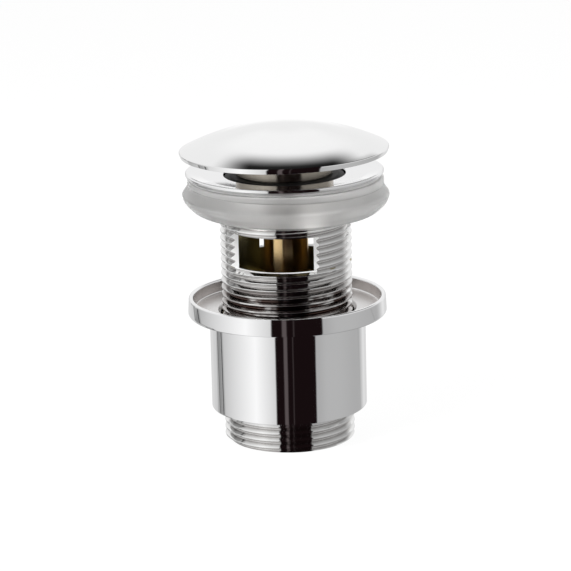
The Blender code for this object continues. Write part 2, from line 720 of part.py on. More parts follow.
def dome_arc(from_radius, to_radius, drop, steps):
    """Points of the dome's arc, lowered by drop, from one radius to another."""
    radii = [from_radius + (to_radius - from_radius) * step / steps for step in range(steps + 1)]
    return [(radius, dome_height(radius) - drop) for radius in radii]


def make_cap():
    base = CAP_RADIUS - CAP_BAND_TAPER
    turned(
        "cap_dome",
        [
            *dome_arc(0, CAP_RADIUS - 2 * CAP_EDGE, 0, DOME_STEPS),
            (CAP_RADIUS, CAP_CREASE, CAP_EDGE),
            (base, CAP_BOTTOM, CAP_EDGE / 3),
            (base - CAP_RIM_WIDTH, CAP_BOTTOM),
            *dome_arc(base - CAP_RIM_WIDTH, CAP_BOSS_RADIUS, CAP_WALL, INNER_DOME_STEPS),
            (CAP_BOSS_RADIUS, CAP_BOTTOM),
            (STUD_RADIUS + THREAD_CLEARANCE, CAP_BOTTOM),
            (STUD_RADIUS + THREAD_CLEARANCE, STUD_TOP + GAP),
            (0, STUD_TOP + GAP),
        ],
        chrome,
    )


def make_plug():
    inside = PLUG_RADIUS - PLUG_WALL
    turned(
        "plug_body",
        [
            (PLUG_RADIUS, PLUG_TOP, PLUG_TOP_EDGE),
            (PLUG_RADIUS, SEAL_TOP + GAP),
            (PLUG_GROOVE_RADIUS, SEAL_TOP + GAP),
            (PLUG_GROOVE_RADIUS, SEAL_BOTTOM - GAP),
            (PLUG_SKIRT_RADIUS, SEAL_BOTTOM - GAP, PLUG_BOTTOM_EDGE),
            (PLUG_SKIRT_RADIUS, PLUG_BOTTOM, PLUG_BOTTOM_EDGE),
            (inside, PLUG_BOTTOM),
            (inside, PLUG_UNDER_CEILING, PLUG_INNER_EDGE),
            (STUD_RADIUS + THREAD_CLEARANCE, PLUG_UNDER_CEILING),
            (STUD_RADIUS + THREAD_CLEARANCE, PLUG_TOP),
        ],
        nickel,
    )
    turned(
        "plug_seal",
        [
            (PLUG_GROOVE_RADIUS + GAP, SEAL_TOP),
            (PLUG_SKIRT_RADIUS, SEAL_TOP),
            (SEAL_RADIUS, SEAL_TOP - SEAL_LIP),
            (SEAL_RADIUS, SEAL_BOTTOM + SEAL_LIP),
            (PLUG_SKIRT_RADIUS, SEAL_BOTTOM),
            (PLUG_GROOVE_RADIUS + GAP, SEAL_BOTTOM),
        ],
        black_rubber,
    )


def make_plug_fixings():
    hole = STUD_RADIUS + THREAD_CLEARANCE
    flat_ring(
        "plug_washer", PLUG_WASHER_RADIUS, hole, PLUG_WASHER_TOP - PLUG_WASHER_THICKNESS,
        PLUG_WASHER_TOP, steel, TINY_SEGMENTS,
    )
    nut = hexagon("cap_nut", CAP_NUT_FLATS, CAP_NUT_BOTTOM, CAP_NUT_TOP, steel)
    bore = cylinder(
        "cap_nut_bore", hole, CAP_NUT_BOTTOM - CAP_NUT_HEIGHT, CAP_NUT_TOP + CAP_NUT_HEIGHT,
        TINY_SEGMENTS,
    )
    combine(nut, bore)


def carry(name, height, *carried):
    """Parents pieces that move together to an empty on the axis."""
    empty = bpy.data.objects.new(name, None)
    empty.empty_display_size = FLANGE_RADIUS
    empty.location.z = height
    parts.objects.link(empty)
    bpy.context.view_layer.update()
    for piece in carried:
        child = bpy.data.objects[piece]
        child.parent = empty
        child.matrix_parent_inverse = empty.matrix_world.inverted()


clear_scene()
parts = new_collection("basin_waste")
cutters = new_collection("cutters")

chrome = new_material("chrome", (0.88, 0.88, 0.9), 0.05, 1)
brass = new_material("brass", (0.85, 0.66, 0.34), 0.22, 1)
nickel = new_material("nickel", (0.8, 0.76, 0.66), 0.12, 1)
steel = new_material("steel", (0.62, 0.62, 0.63), 0.3, 1)
clear_rubber = new_material("clear_rubber", (0.7, 0.69, 0.66), 0.3, 0)
black_rubber = new_material("black_rubber", (0.03, 0.03, 0.03), 0.5, 0)
white_plastic = new_material("white_plastic", (0.86, 0.85, 0.8), 0.45, 0)

make_lower_sleeve()
make_sleeve_washer()
make_waste_body()
make_flange_gasket()
make_cartridge_housing()
make_housing_fixings()
make_track_ring()
make_track_balls()
make_plunger()
make_return_spring()
make_spring_seat()
make_ring_spacer()
make_guide_bush()
make_bush_circlip()
make_cap()
make_plug()
make_plug_fixings()

carry(
    "cap_press", CAP_BOTTOM, "cap_dome", "plug_body", "plug_seal", "plug_washer", "cap_nut",
    "plunger", "spring_seat",
)
carry("track_turn", BALL_LEVEL, "track_ring", "track_ball_left", "track_ball_right")
carry("sleeve_adjust", CUP_FLOOR, "lower_sleeve", "sleeve_washer")
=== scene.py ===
# Press-to-open basin waste with overflow windows, shown open, in a white studio with one black panel
# in front. Pieces are drawn in millimetres in the CAD's frame: +Z runs up the axis, and a window faces -Y.

import math

import bmesh
import bpy
from mathutils import Matrix, Vector


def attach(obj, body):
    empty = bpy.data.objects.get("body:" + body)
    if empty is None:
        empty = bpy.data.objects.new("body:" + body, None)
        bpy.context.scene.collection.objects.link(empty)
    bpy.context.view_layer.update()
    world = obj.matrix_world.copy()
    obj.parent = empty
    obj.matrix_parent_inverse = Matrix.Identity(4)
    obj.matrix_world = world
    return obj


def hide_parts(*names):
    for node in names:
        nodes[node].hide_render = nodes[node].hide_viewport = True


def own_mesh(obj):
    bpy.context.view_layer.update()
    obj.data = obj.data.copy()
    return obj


mm = 0.001
roundSegments = 160  # round the large turned pieces
smallSegments = 72
filletSteps = 6
edgeHold = 0.1  # a ring this far beyond each rounding keeps the shading of the long faces straight
sharpAngle = 36  # degrees; edges that turn more stay crisp

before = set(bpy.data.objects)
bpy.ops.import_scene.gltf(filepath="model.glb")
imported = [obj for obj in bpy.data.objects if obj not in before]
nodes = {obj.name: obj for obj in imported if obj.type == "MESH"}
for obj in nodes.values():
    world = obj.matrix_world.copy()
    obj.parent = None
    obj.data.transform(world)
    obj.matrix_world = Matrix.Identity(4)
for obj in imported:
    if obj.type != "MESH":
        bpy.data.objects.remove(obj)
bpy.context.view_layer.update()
print("stage: frame loaded,", len(nodes), "nodes")


# Node trees, written as arithmetic

class Wire:
    # one output socket; sums on it add Math nodes to its tree

    def __init__(self, sheet, socket):
        self.sheet, self.socket = sheet, socket

    def maths(self, operation, *others):
        sockets = dict(enumerate((self, *others)))
        return self.sheet.add("ShaderNodeMath", {"operation": operation}, sockets)

    def __add__(self, other):
        return self.maths("ADD", other)

    def __sub__(self, other):
        return self.maths("SUBTRACT", other)

    def __mul__(self, other):
        return self.maths("MULTIPLY", other)

    def __truediv__(self, other):
        return self.maths("DIVIDE", other)

    def __rsub__(self, other):
        return self.sheet.add("ShaderNodeMath", {"operation": "SUBTRACT"}, {0: other, 1: self})

    def __abs__(self):
        return self.maths("ABSOLUTE")

    __radd__ = __add__
    __rmul__ = __mul__

    def clamped(self, low=0, high=1):
        return self.maths("MAXIMUM", low).maths("MINIMUM", high)

    def step(self, start, end):
        # 0 before start, 1 after end, with a smooth rise between; start may be the larger
        return self.sheet.add(
            "ShaderNodeMapRange", {"interpolation_type": "SMOOTHSTEP"},
            {"Value": self, "From Min": start, "From Max": end},
        )

    def band(self, start, end, soft):
        # 1 between start and end, with edges as wide as twice soft
        return self.step(start - soft, start + soft) * self.step(end + soft, end - soft)


class NodeSheet:
    # adds nodes to one tree

    def __init__(self, tree):
        self.tree = tree
        tree.nodes.clear()

    def add(self, kind, settings=None, sockets=None, output=0):
        node = self.tree.nodes.new(kind)
        for name, value in (settings or {}).items():
            setattr(node, name, value)
        for name, value in (sockets or {}).items():
            if isinstance(value, Wire):
                self.tree.links.new(value.socket, node.inputs[name])
            else:
                node.inputs[name].default_value = value
        return Wire(self, node.outputs[output]) if len(node.outputs) else node

    def other(self, wire, output):
        return Wire(self, wire.socket.node.outputs[output])

    def mixColour(self, share, first, second):
        return self.add(
            "ShaderNodeMix", {"data_type": "RGBA"}, {0: share, 6: first, 7: second}, output=2
        )

    def noise(self, place, scale, detail=2.0, roughness=0.5):
        return self.add(
            "ShaderNodeTexNoise", {},
            {"Vector": place, "Scale": scale, "Detail": detail, "Roughness": roughness},
        )


# Camera, at the photograph's viewing angle. Width, focal and pan are in pixels, distance and lookAt in
# millimetres, the angles in degrees.

photo = {
    "width": 571, "focal": 2811, "pan": 1.5, "distance": 900, "lookAt": 49.55, "azimuth": 13.5,
    "elevation": 14.48, "lean": 1.3,
}


def placeCamera():
    turn, lift, lean = (math.radians(photo[key]) for key in ("azimuth", "elevation", "lean"))
    back = Vector((math.sin(turn) * math.cos(lift), -math.cos(turn) * math.cos(lift), math.sin(lift)))
    right = Vector((math.cos(turn), math.sin(turn), 0))
    up = back.cross(right)
    imageRight = right * math.cos(lean) - up * math.sin(lean)
    middle = Vector((0, 0, photo["lookAt"]))
    place = middle + back * photo["distance"]
    aim = middle - imageRight * photo["pan"] * photo["distance"] / photo["focal"]
    back = (place - aim).normalized()
    imageUp = back.cross(imageRight).normalized()
    imageRight = imageUp.cross(back)
    data = bpy.data.cameras.new("camera")
    data.sensor_width = 36
    data.lens = photo["focal"] / photo["width"] * data.sensor_width
    data.clip_start, data.clip_end = 0.05, 20
    camera = bpy.data.objects.new("camera", data)
    bpy.context.scene.collection.objects.link(camera)
    axes = Matrix((imageRight, imageUp, back)).transposed().to_4x4()
    camera.matrix_world = Matrix.Translation(place * mm) @ axes
    bpy.context.scene.camera = camera


# Studio. A surface of the object mirrors one direction towards the camera, so the surroundings are described
# by the facing of that surface: side is its turn from the camera (left is minus) and rise its tilt upwards,
# in degrees. A pair holds where a change starts and where it ends.

studio = {
    "panelLeft": -9.7, "panelRight": 20.1, "panelTop": (62, 56), "panelColour": (0.0085, 0.0045, 0.005),
    "stripes": ((-2.2, 1.3, 0.095), (3.2, 0.3, 0.04)),  # on the panel: middle, half width, strength
    "leftPeak": -25, "leftWhite": 1.04, "fallInward": 0.022, "fallOutward": 0.0148,  # falls for each degree
    "leftEdge": (-65, -68), "leftEdgeWhite": 0.66,
    "rightGrey": 0.485, "rightTones": ((36, 60, -0.045), (30, 20, -0.06), (62, 76, 0.45)),  # pair and change
    "seams": (  # middle, half width, depth
        (-65.2, 0.9, 0.62), (-62.5, 1.6, 0.42), (-59.6, 0.8, 0.84), (-58.0, 0.7, 0.25), (62.4, 0.6, 0.12),
    ),
    "seamLean": 0.9, "leanLimit": 12,
    "topRise": (10, 48), "topWhite": 0.9,
    "shadeStart": 16, "shadeEnd": 62, "shadeFoot": (38, 54), "shadeHead": (66, 62.5), "shadeGrey": 0.2,
    "zenithRise": (70, 76), "zenithFacing": (0.22, 0.1), "zenithGlow": 0.12,
    "domeHalf": 60, "domeFoot": (66, 74), "domeHead": (87, 80), "domeGlow": 0.07,
    "backRise": (62, 50), "frontFacing": (0.2, 0.33), "backWhite": 0.72,
    "ceilingMiddle": 3, "ceilingSide": (52, 25), "ceilingFoot": (44, 54), "ceilingHead": (71.5, 65),
    "ceilingDepth": 0.985,
    "lowRise": (-30, -50), "lowShade": 0.6,
}


def buildWorld():
    world = bpy.data.worlds.new("studio")
    bpy.context.scene.world = world
    world.use_nodes = True
    sheet = NodeSheet(world.node_tree)
    direction = sheet.add("ShaderNodeTexCoord", output="Generated")
    x = sheet.add("ShaderNodeSeparateXYZ", {}, {0: direction})
    y, z = sheet.other(x, "Y"), sheet.other(x, "Z")
    turn, lift = math.radians(photo["azimuth"]), math.radians(photo["elevation"])
    across = x * math.cos(turn) + y * math.sin(turn)
    ahead = x * math.sin(turn) - y * math.cos(turn) + math.cos(lift)
    above = z + math.sin(lift)
    flat = across * across + ahead * ahead
    degrees = 180 / math.pi
    side = across.maths("ARCTAN2", ahead) * degrees
    rise = above.maths("ARCTAN2", flat.maths("SQRT")) * degrees
    facing = (flat + above * above).maths("SQRT") * 0.5

    def blend(share, first, second):
        return sheet.add("ShaderNodeMix", {}, {0: share, 2: first, 3: second})

    s = studio
    fromPeak = side - s["leftPeak"]
    left = s["leftWhite"] - fromPeak.maths("MAXIMUM", 0) * s["fallInward"]
    left = left + fromPeak.maths("MINIMUM", 0) * s["fallOutward"]
    left = blend(side.step(*s["leftEdge"]), left, s["leftEdgeWhite"])
    right = s["rightGrey"]
    for first, last, change in s["rightTones"]:
        right = side.step(first, last) * change + right
    level = blend(side.step(-1, 1), left, right)
    leaning = side + rise.clamped(-s["leanLimit"], s["leanLimit"]) * s["seamLean"]
    for middle, half, depth in s["seams"]:
        level = level * (1 - leaning.band(middle - half, middle + half, 0.5) * depth)
    level = blend(rise.step(*s["topRise"]), level, s["topWhite"])
    shade = side.band(s["shadeStart"], s["shadeEnd"], 6) * rise.step(*s["shadeFoot"])
    shade = shade * rise.step(*s["shadeHead"])
    level = blend(shade, level, s["shadeGrey"])
    level = level + rise.step(*s["zenithRise"]) * facing.step(*s["zenithFacing"]) * s["zenithGlow"]
    dome = rise.step(*s["domeFoot"]) * rise.step(*s["domeHead"])
    level = level + dome * side.band(-s["domeHalf"], s["domeHalf"], 20) * s["domeGlow"]
    behind = facing.step(*reversed(s["frontFacing"]))
    level = blend(behind * rise.step(*s["backRise"]), level, s["backWhite"])
    ceiling = rise.step(*s["ceilingHead"]) * rise.step(*s["ceilingFoot"])
    ceiling = ceiling * abs(side - s["ceilingMiddle"]).step(*s["ceilingSide"])
    level = level * (1 - ceiling * s["ceilingDepth"])
    level = level * (1 - rise.step(*s["lowRise"]) * s["lowShade"])
    colour = sheet.add("ShaderNodeCombineColor", {}, {0: level, 1: level, 2: level})
    panel = side.band(s["panelLeft"], s["panelRight"], 0.6)
    panel = panel * rise.step(*s["panelTop"]) * facing.step(*s["frontFacing"])
    stripes = 0
    for middle, half, strength in s["stripes"]:
        stripes = side.band(middle - half, middle + half, 0.5) * strength + stripes
    red, green, blue = s["panelColour"]
    stripe = sheet.add(
        "ShaderNodeCombineColor", {}, {0: stripes + red, 1: stripes * 0.85 + green, 2: stripes * 0.86 + blue}
    )
    colour = sheet.mixColour(panel, colour, stripe)
    paths = sheet.add("ShaderNodeLightPath", output="Is Camera Ray")
    clear = paths.maths("MAXIMUM", sheet.other(paths, "Is Transmission Ray"))
    colour = sheet.mixColour(clear, colour, (1, 1, 1, 1))  # white to the camera and through clear pieces
    light = sheet.add("ShaderNodeBackground", {}, {"Color": colour, "Strength": 1})
    sheet.add("ShaderNodeOutputWorld", {}, {"Surface": light})


floorLook = {"radius": 3, "drop": 0.0002, "paint": 0.86, "glow": 1.06, "glowShare": 0.85}


def addFloor():
    f = floorLook
    bm = bmesh.new()
    bmesh.ops.create_circle(bm, cap_ends=True, radius=f["radius"], segments=96)
    mesh = bpy.data.meshes.new("floor")
    bm.to_mesh(mesh)
    bm.free()
    floor = bpy.data.objects.new("floor", mesh)
    floor.location.z = -f["drop"]
    bpy.context.scene.collection.objects.link(floor)
    material = bpy.data.materials.new("whiteFloor")
    material.use_nodes = True
    sheet = NodeSheet(material.node_tree)
    paint = sheet.add("ShaderNodeBsdfDiffuse", {}, {"Color": (f["paint"], f["paint"], f["paint"], 1)})
    glow = sheet.add("ShaderNodeEmission", {}, {"Color": (1, 1, 1, 1), "Strength": f["glow"]})
    camera = sheet.add("ShaderNodeLightPath", output="Is Camera Ray")
    share = camera.maths("MAXIMUM", sheet.other(camera, "Is Transmission Ray")) * f["glowShare"]
    mixed = sheet.add("ShaderNodeMixShader", {}, {0: share, 1: paint, 2: glow})
    sheet.add("ShaderNodeOutputMaterial", {}, {"Surface": mixed})
    mesh.materials.append(material)
    floor.visible_glossy = False


lamps = {  # place, size and power
    "keyLamp": ((-0.55, -0.75, 0.9), 0.6, 9),
    "fillLamp": ((0.8, -0.5, 0.6), 0.8, 9),
}
lampAim = Vector((0, 0, 0.05))


def addLamp(name, place, size, power):
    data = bpy.data.lights.new(name, "AREA")
    data.shape = "DISK"
    data.size = size
    data.energy = power
    lamp = bpy.data.objects.new(name, data)
    bpy.context.scene.collection.objects.link(lamp)
    lamp.location = place
    lamp.rotation_euler = (Vector(place) - lampAim).to_track_quat("Z", "Y").to_euler()
    lamp.visible_glossy = False
    lamp.visible_camera = False


# Materials

pipeThread = {"crest": 20.955, "depth": 1.479, "pitch": 2.309, "rowsPerPitch": 10}
# the heights in metres of the brown painted shade just above the cup, from none to full
cupShadeBand = {"top": (0.0545, 0.0485), "foot": (0.035, 0.04)}  # heights in metres, from clean to full
# the height band in metres of the gasket's painted shade, below its lip
gasketShadeBand = {"bottom": 0.0803, "top": 0.0834, "soft": 0.0006}


def newFinish(name, **uniform):
    material = bpy.data.materials.new(name)
    material.use_nodes = True
    sheet = NodeSheet(material.node_tree)
    shader = sheet.tree.nodes.new("ShaderNodeBsdfPrincipled")
    output = sheet.tree.nodes.new("ShaderNodeOutputMaterial")
    sheet.tree.links.new(shader.outputs[0], output.inputs[0])
    for key, value in uniform.items():
        shader.inputs[key].default_value = value
    place = sheet.add("ShaderNodeTexCoord", output="Object")

    def feed(socket, wire):
        sheet.tree.links.new(wire.socket, shader.inputs[socket])

    return material, sheet, place, feed


def stretched(sheet, place, scale):
    return sheet.add("ShaderNodeMapping", {"vector_type": "POINT"}, {"Vector": place, "Scale": scale})


def makeChrome(name, tone=(0.93, 0.93, 0.935)):
    material, sheet, place, feed = newFinish(name, **{"Metallic": 1.0})
    haze = sheet.noise(place, 60, 3)
    wipe = sheet.noise(stretched(sheet, place, (1, 1, 3)), 260, 4, 0.6)
    feed("Roughness", 0.035 + haze * 0.02 + wipe.step(0.62, 0.8) * 0.03)
    feed("Base Color", sheet.mixColour(haze, (*tone, 1), tuple(part * 0.965 for part in tone) + (1,)))
    swell = sheet.noise(place, 95, 1)
    feed("Normal", sheet.add("ShaderNodeBump", {}, {"Strength": 0.12, "Distance": 0.0001, "Height": swell}))
    return material


def makeThreadChrome():
    # chrome over a cut thread: duller in the valleys, with painted shade darkening the valleys, and brown
    # painted shade in them just above the cup that stands for the cup's dark reflection
    material, sheet, place, feed = newFinish("threadChrome", **{"Metallic": 1.0})
    x = sheet.add("ShaderNodeSeparateXYZ", {}, {0: place})
    y, z = sheet.other(x, "Y"), sheet.other(x, "Z")
    radius = (x * x + y * y).maths("SQRT")
    root, crest = (pipeThread["crest"] - pipeThread["depth"]) * mm, pipeThread["crest"] * mm
    valley = radius.step(crest - 0.0003, root + 0.0001)
    streaks = sheet.noise(stretched(sheet, place, (0.35, 0.35, 1.6)), 330, 3, 0.6)
    # painted shade: brown streaks low on the thread, strongest in the valleys, stand for the cup's dark
    # reflection
    cupShade = streaks.step(0.36, 0.5) * z.step(*cupShadeBand["top"]) * z.step(*cupShadeBand["foot"])
    cupShade = cupShade * (valley * 0.5 + 0.5)
    spots = sheet.noise(place, 420, 3, 0.6)
    crestTone = sheet.mixColour(spots, (0.92, 0.92, 0.92, 1), (0.84, 0.84, 0.83, 1))
    # painted shade: the thread's valleys get a darker colour than its crests
    valleyShadeTone = sheet.mixColour(spots, (0.74, 0.73, 0.725, 1), (0.55, 0.54, 0.53, 1))
    colour = sheet.mixColour(valley, crestTone, valleyShadeTone)
    feed("Base Color", sheet.mixColour(cupShade, colour, (0.085, 0.05, 0.042, 1)))
    feed("Roughness", 0.03 + valley * 0.03 + cupShade * 0.12)
    swell = sheet.noise(place, 900, 2)
    feed("Normal", sheet.add("ShaderNodeBump", {}, {"Strength": 0.08, "Distance": 0.0001, "Height": swell}))
    return material


def makeTurnedMetal(name, colour, shade, roughness, marks, metallic=1.0, wear=1.0, drawn=0.0):
    # fine rings from the lathe, with duller patches; drawn stretches the gloss along the axis
    material, sheet, place, feed = newFinish(
        name, **{"Metallic": metallic, "Anisotropic": drawn, "Anisotropic Rotation": 0.25}
    )
    rings = sheet.noise(stretched(sheet, place, (0.02, 0.02, 1)), 9000, 3, 0.7)
    patches = sheet.noise(place, 130, 4, 0.6)
    feed("Base Color", sheet.mixColour(patches.step(0.3, 0.75), (*colour, 1), (*shade, 1)))
    feed("Roughness", roughness + patches * (0.12 * wear) + rings * (0.08 * wear))
    feed("Normal", sheet.add("ShaderNodeBump", {}, {"Strength": marks, "Distance": 0.00003, "Height": rings}))
    return material


def makeGasket():
    # a moulded, slightly cloudy clear rubber, with painted shade in a band below its lip where the flange
    # above shades it
    material, sheet, place, feed = newFinish(
        "clearGasket",
        **{"Transmission Weight": 0.92, "IOR": 1.45, "Specular IOR Level": 0.9, "Coat Weight": 1.0,
           "Coat IOR": 1.8, "Coat Roughness": 0.2},
    )
    cloud = sheet.noise(place, 120, 3)
    height = sheet.other(sheet.add("ShaderNodeSeparateXYZ", {}, {0: place}), "Z")
    # painted shade: a darker band on the gasket's upper slope, under the flange
    flangeShade = height.band(gasketShadeBand["bottom"], gasketShadeBand["top"], gasketShadeBand["soft"])
    rubberTone = sheet.mixColour(cloud, (0.94, 0.935, 0.925, 1), (0.88, 0.875, 0.865, 1))
    feed("Base Color", sheet.mixColour(flangeShade, rubberTone, (0.50, 0.495, 0.485, 1)))
    feed("Roughness", 0.36 + cloud * 0.06)
    ripple = sheet.noise(stretched(sheet, place, (1, 1, 3)), 140, 1)
    feed("Normal", sheet.add("ShaderNodeBump", {}, {"Strength": 0.1, "Distance": 0.0002, "Height": ripple}))
    return material


def makeMoulded(name, colour, shade, roughness):
    material, sheet, place, feed = newFinish(name)
    cloud = sheet.noise(place, 300, 4, 0.6)
    grain = sheet.noise(place, 4200, 2)
    feed("Base Color", sheet.mixColour(cloud.step(0.3, 0.8), (*colour, 1), (*shade, 1)))
    feed("Roughness", roughness + cloud * 0.15)
    feed("Normal", sheet.add("ShaderNodeBump", {}, {"Strength": 0.2, "Distance": 0.00004, "Height": grain}))
    return material


finishes = {
    "bodyChrome": makeChrome("bodyChrome"),
    "capChrome": makeChrome("capChrome", (0.94, 0.94, 0.94)),
    "sleeveChrome": makeChrome("sleeveChrome"),
    "threadChrome": makeThreadChrome(),
    "clearGasket": makeGasket(),
}
turnedMetals = {  # colour, colour of the patches, roughness, and how strong the lathe's rings are
    "cutChrome": ((0.98, 0.98, 0.98), (0.95, 0.95, 0.95), 0.3, 0.2, {"metallic": 0.0}),
    "cupWall": ((0.60, 0.56, 0.54), (0.52, 0.48, 0.46), 0.12, 0.2, {}),
    "cupFloor": ((0.86, 0.85, 0.845), (0.80, 0.79, 0.785), 0.2, 0.25, {}),
    "boreBrass": ((0.46, 0.40, 0.22), (0.30, 0.26, 0.14), 0.16, 0.3, {"wear": 0.3, "drawn": 0.9}),
    "brass": ((0.80, 0.58, 0.30), (0.70, 0.50, 0.25), 0.2, 0.15, {"wear": 0.15, "drawn": 0.92}),
    "paleBrass": ((0.50, 0.455, 0.39), (0.45, 0.41, 0.35), 0.24, 0.03, {"wear": 0.1, "drawn": 0.92}),
    "steel": ((0.62, 0.62, 0.63), (0.5, 0.5, 0.51), 0.22, 0.35, {}),
}
mouldings = {
    "whitePlastic": ((0.86, 0.85, 0.80), (0.80, 0.79, 0.74), 0.35),
    "blackRubber": ((0.028, 0.028, 0.028), (0.05, 0.05, 0.048), 0.4),
}
for name, (*look, more) in turnedMetals.items():
    finishes[name] = makeTurnedMetal(name, *look, **more)
for name, look in mouldings.items():
    finishes[name] = makeMoulded(name, *look)
print("stage: materials made")


# Turned shapes

def roundCorners(corners):
    # a corner is (across, up), or (across, up, fillet) where it is rounded
    points = []
    for index, corner in enumerate(corners):
        here = Vector(corner[:2])
        if len(corner) < 3 or not corner[2]:
            points.append(here)
            continue
        toBefore = Vector(corners[index - 1][:2]) - here
        toAfter = Vector(corners[(index + 1) % len(corners)][:2]) - here
        halfAngle = toBefore.angle(toAfter) / 2
        room = 0.49 * min(toBefore.length, toAfter.length)
        reach = min(corner[2] / math.tan(halfAngle), room)
        radius = reach * math.tan(halfAngle)
        before, after = toBefore.normalized(), toAfter.normalized()
        middle = here + (before + after).normalized() * radius / math.sin(halfAngle)
        start = here + before * reach - middle
        sweep = start.angle_signed(here + after * reach - middle)
        held = reach + edgeHold < room
        if held:
            points.append(here + before * (reach + edgeHold))
        for step in range(filletSteps + 1):
            points.append(middle + Matrix.Rotation(-sweep * step / filletSteps, 2) @ start)
        if held:
            points.append(here + after * (reach + edgeHold))
    return points


def ringOutline(outer, inner, top, bottom, outerFillet=0, innerFillet=0):
    # a plain ring, or a disc where inner is 0
    return [
        (inner, top, innerFillet), (outer, top, outerFillet), (outer, bottom, outerFillet),
        (inner, bottom, innerFillet),
    ]


def turned(corners, segments=roundSegments, closed=True):
    # turns an outline about the axis; an open one leaves its ends for a thread to join
    bm = bmesh.new()
    angles = [math.tau * step / segments for step in range(segments)]
    directions = [(math.cos(angle), math.sin(angle)) for angle in angles]
    rings = []
    for across, up in roundCorners(corners):
        if across < 0.0001:
            rings.append([bm.verts.new((0, 0, up * mm))] * segments)
        else:
            rings.append([bm.verts.new((across * mm * c, across * mm * s, up * mm)) for c, s in directions])
    for upper, lower in zip(rings, rings[1:] + (rings[:1] if closed else [])):
        for step in range(segments):
            after = (step + 1) % segments
            corner = list(dict.fromkeys((upper[step], lower[step], lower[after], upper[after])))
            if len(corner) > 2:
                bm.faces.new(corner)
    return bm


def joined(bm, mesh):
    # adds a thread's mesh to a turned shape; addPiece merges the rims at which they meet
    bm.from_mesh(mesh)
    bpy.data.meshes.remove(mesh)
    for face in bm.faces:
        face.material_index = 0
    return bm


def addPiece(name, bm, materials, sharp=sharpAngle):
    bmesh.ops.remove_doubles(bm, verts=bm.verts, dist=0.000002)
    bmesh.ops.recalc_face_normals(bm, faces=bm.faces)
    mesh = bpy.data.meshes.new(name)
    bm.to_mesh(mesh)
    bm.free()
    for material in materials:
        mesh.materials.append(finishes[material])
    mesh.shade_smooth()
    mesh.set_sharp_from_angle(angle=math.radians(sharp))
    obj = bpy.data.objects.new(name, mesh)
    bpy.context.scene.collection.objects.link(obj)
    return obj


def settle(obj):
    # applies an object's modifiers, so that a plain mesh is left
    bpy.context.view_layer.update()
    graph = bpy.context.evaluated_depsgraph_get()
    mesh = bpy.data.meshes.new_from_object(obj.evaluated_get(graph))
    obj.modifiers.clear()
    old, obj.data = obj.data, mesh
    mesh.name = obj.name
    bpy.data.meshes.remove(old)


def cut(obj, bm, operation="DIFFERENCE", finish=0):
    # its new faces get that one of the piece's materials
    for face in bm.faces:
        face.material_index = finish
    bmesh.ops.recalc_face_normals(bm, faces=bm.faces)
    mesh = bpy.data.meshes.new("cutter")
    bm.to_mesh(mesh)
    bm.free()
    for material in obj.data.materials:
        mesh.materials.append(material)
    cutter = bpy.data.objects.new("cutter", mesh)
    bpy.context.scene.collection.objects.link(cutter)
    boolean = obj.modifiers.new("cut", "BOOLEAN")
    boolean.operation = operation
    boolean.solver = "EXACT"
    boolean.object = cutter
    settle(obj)
    bpy.data.objects.remove(cutter)
    bpy.data.meshes.remove(mesh)


def paint(obj, test, index):
    # gives another of its materials to the faces whose middle passes the test
    for face in obj.data.polygons:
        middle = face.center / mm
        if test(math.hypot(middle.x, middle.y), middle.z, face.normal):
            face.material_index = index


def place(obj, body, slot, *replaced):
    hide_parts(*replaced)
    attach(obj, body)
    print("stage:", obj.name, "made,", len(obj.data.polygons), "faces")


# Threads and the spring are Geometry Nodes trees

def newTree(name, inputs):
    tree = bpy.data.node_groups.new(name, "GeometryNodeTree")
    kinds = {float: "NodeSocketFloat", int: "NodeSocketInt"}
    tree.interface.new_socket("Geometry", in_out="OUTPUT", socket_type="NodeSocketGeometry")
    identifiers = {}
    for label, value in inputs.items():
        kind = "NodeSocketMaterial" if isinstance(value, bpy.types.Material) else kinds[type(value)]
        identifiers[label] = tree.interface.new_socket(label, in_out="INPUT", socket_type=kind).identifier
    return tree, NodeSheet(tree), identifiers


def endTree(sheet, geometry, material):
    solid = sheet.add("GeometryNodeRealizeInstances", {}, {0: geometry})
    painted = sheet.add("GeometryNodeSetMaterial", {}, {"Geometry": solid, "Material": material})
    sheet.add("NodeGroupOutput", {}, {0: painted})


def runTree(tree, identifiers, values):
    mesh = bpy.data.meshes.new("empty")
    holder = bpy.data.objects.new("holder", mesh)
    bpy.context.scene.collection.objects.link(holder)
    modifier = holder.modifiers.new("tree", "NODES")
    modifier.node_group = tree
    for label, value in values.items():
        modifier[identifiers[label]] = value
    bpy.context.view_layer.update()
    graph = bpy.context.evaluated_depsgraph_get()
    result = bpy.data.meshes.new_from_object(holder.evaluated_get(graph))
    bpy.data.objects.remove(holder)
    bpy.data.meshes.remove(mesh)
    return result


